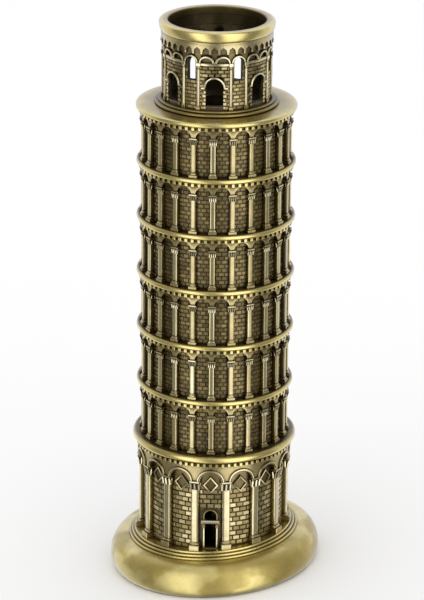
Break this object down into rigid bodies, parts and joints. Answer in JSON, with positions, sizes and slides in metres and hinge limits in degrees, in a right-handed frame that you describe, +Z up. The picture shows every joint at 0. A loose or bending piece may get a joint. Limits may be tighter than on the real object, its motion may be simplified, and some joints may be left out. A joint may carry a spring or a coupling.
{
  "type": "miniature landmark model",
  "caption": "Desk model of a leaning round bell tower on a round foot, with arcaded galleries and an open bell chamber, in antique brass.",
  "frame": {"origin": "centre of the underside of the round foot, on the surface that it stands on", "axes": "+Z up, square to the foot; the tower leans 4 degrees towards +X; its door faces -Y"},
  "size_m": [0.0946, 0.093, 0.2498],
  "materials": {
    "polished_brass": "satin antique brass, rubbed bright",
    "antique_brass": "antique brass, dark patina in the recesses",
    "plated_steel": "plain plated",
    "felt": "pressed wool felt"
  },
  "bodies": {
    "root": {"base_disc": "polished_brass", "plinth_ring": "antique_brass", "ground_storey": "antique_brass", "gallery_1": "antique_brass", "gallery_2": "antique_brass", "gallery_3": "antique_brass", "gallery_4": "antique_brass", "gallery_5": "antique_brass", "gallery_6": "antique_brass", "bell_chamber": "antique_brass", "corbel_ring": "antique_brass", "ground_cornice": "polished_brass", "cornice_1": "polished_brass", "cornice_2": "polished_brass", "cornice_3": "polished_brass", "cornice_4": "polished_brass", "cornice_5": "polished_brass", "terrace_deck": "polished_brass", "bell_foot": "polished_brass", "crown_rim": "polished_brass", "tie_rod": "plated_steel", "base_washer": "plated_steel", "top_washer": "plated_steel", "base_nut": "plated_steel", "dome_nut": "plated_steel", "belfry_screws": "plated_steel", "felt_pad": "felt"}
  },
  "joints": []
}
